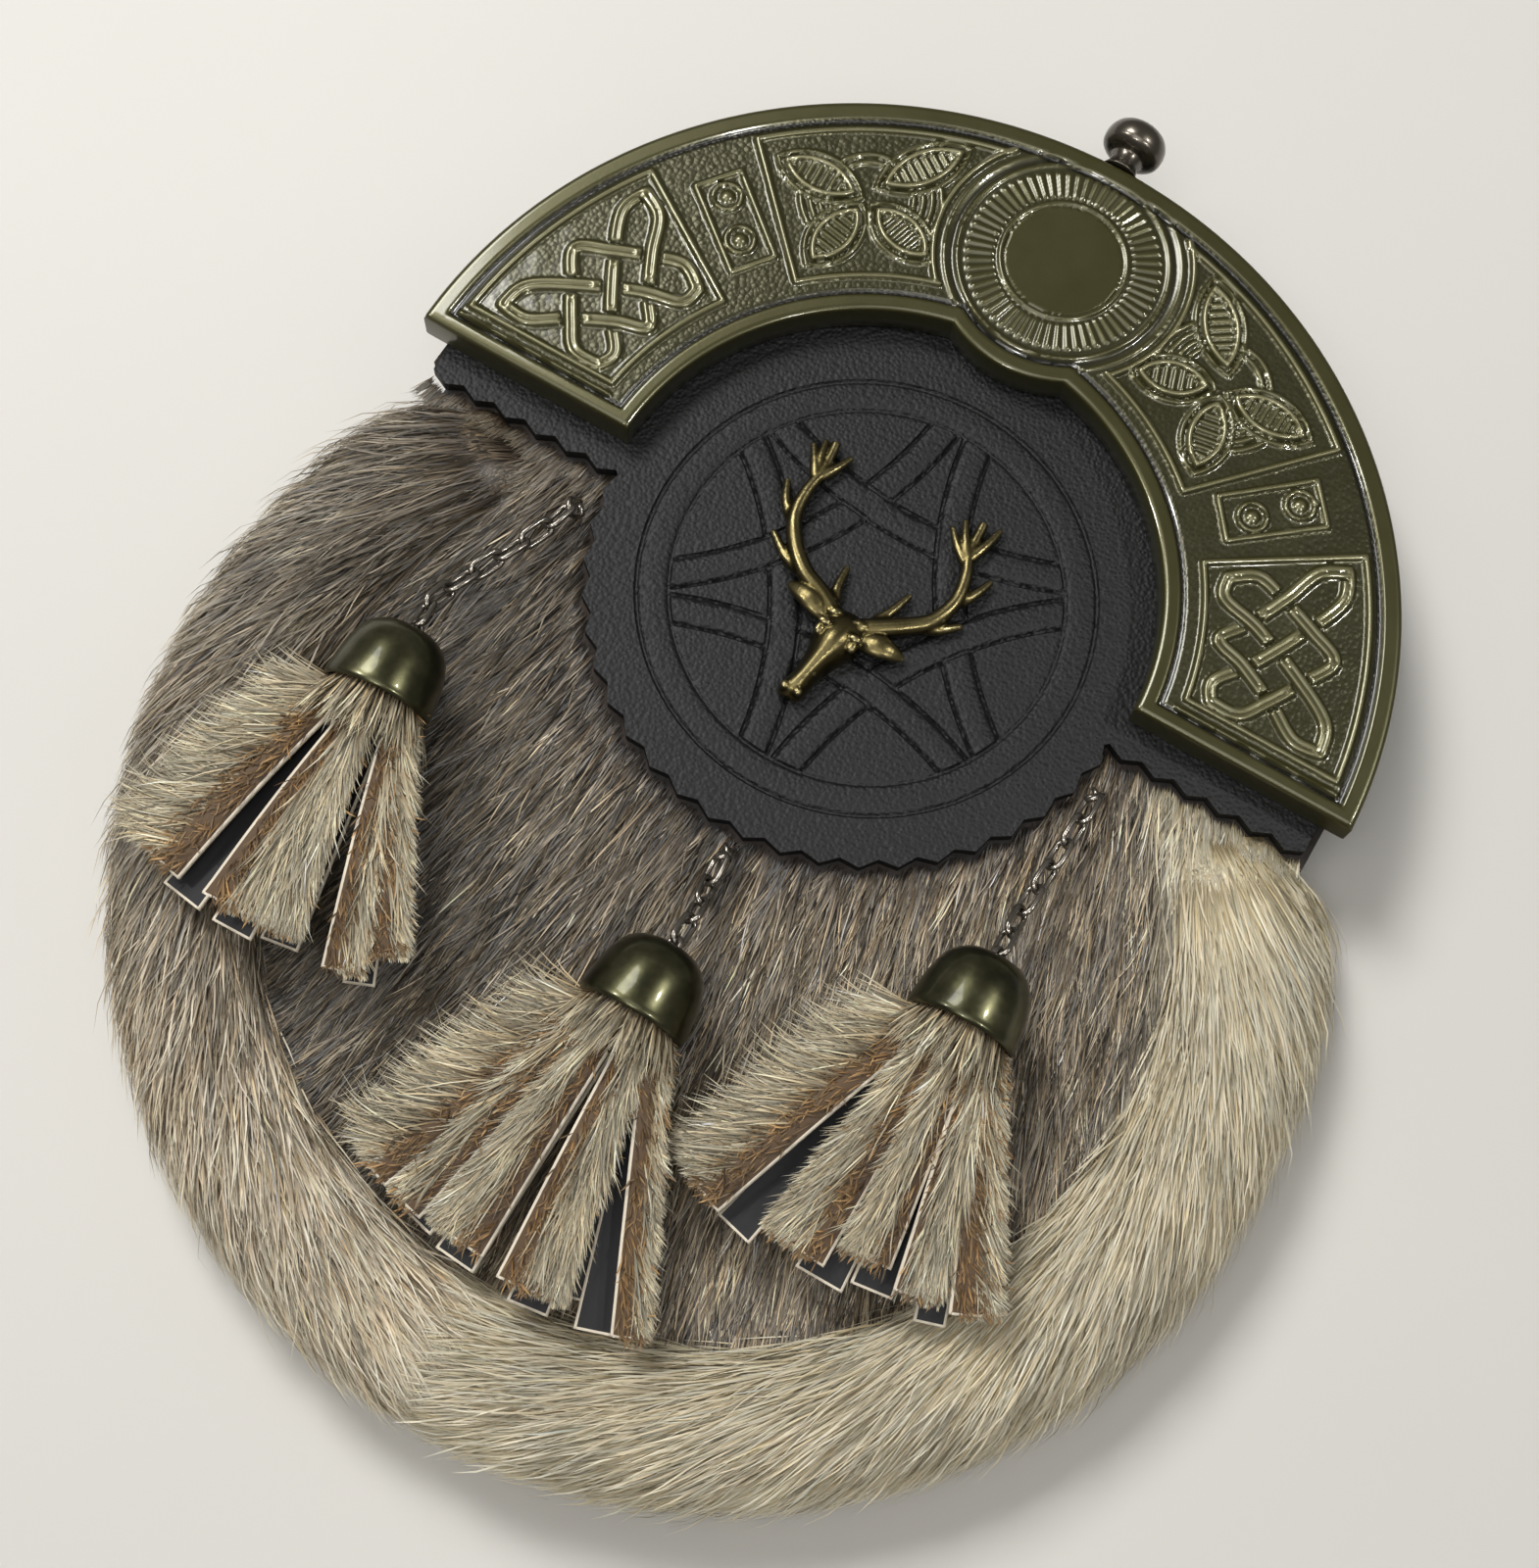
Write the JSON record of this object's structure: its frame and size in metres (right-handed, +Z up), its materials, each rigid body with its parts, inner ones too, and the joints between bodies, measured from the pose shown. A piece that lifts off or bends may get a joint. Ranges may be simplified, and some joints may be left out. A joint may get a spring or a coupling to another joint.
{
  "type": "sporran pouch",
  "caption": "Round fur-faced sporran pouch lying on its back, with a cast half-moon cantle, embossed leather targe, stag's head badge and fur tassels hung in metal cups from short chains.",
  "frame": {"origin": "middle of the leather back, on the surface that the pouch rests on", "axes": "+Z up out of the front, +Y towards the cantle and its stud, +X to the right seen from the front"},
  "size_m": [0.2042, 0.2632, 0.0393],
  "materials": {
    "black_leather": "grained matt black",
    "raw_hide": "undyed skin side",
    "grey_fur": "short grey-brown hair",
    "cream_fur": "short cream hair",
    "antique_metal": "antique nickel, dark in the recesses",
    "badge_metal": "antique brass, polished high points",
    "strip_fur": "pale hair on cut skin strips"
  },
  "bodies": {
    "root": {"back_panel": "black_leather", "front_panel": "raw_hide", "gusset_left": "raw_hide", "gusset_right": "raw_hide", "targe": "black_leather", "front_fur": "grey_fur", "border_fur_left": "grey_fur", "border_fur_right": "cream_fur", "cantle": "antique_metal", "closing_stud": "antique_metal", "stag_head": "badge_metal", "chain_left": "antique_metal", "chain_centre": "antique_metal", "chain_right": "antique_metal", "chain_pin_left": "antique_metal", "chain_pin_centre": "antique_metal", "chain_pin_right": "antique_metal", "tassel_cup_left": "antique_metal", "tassel_cup_centre": "antique_metal", "tassel_cup_right": "antique_metal", "tassel_left": "strip_fur", "tassel_centre": "strip_fur", "tassel_right": "strip_fur"}
  },
  "joints": []
}
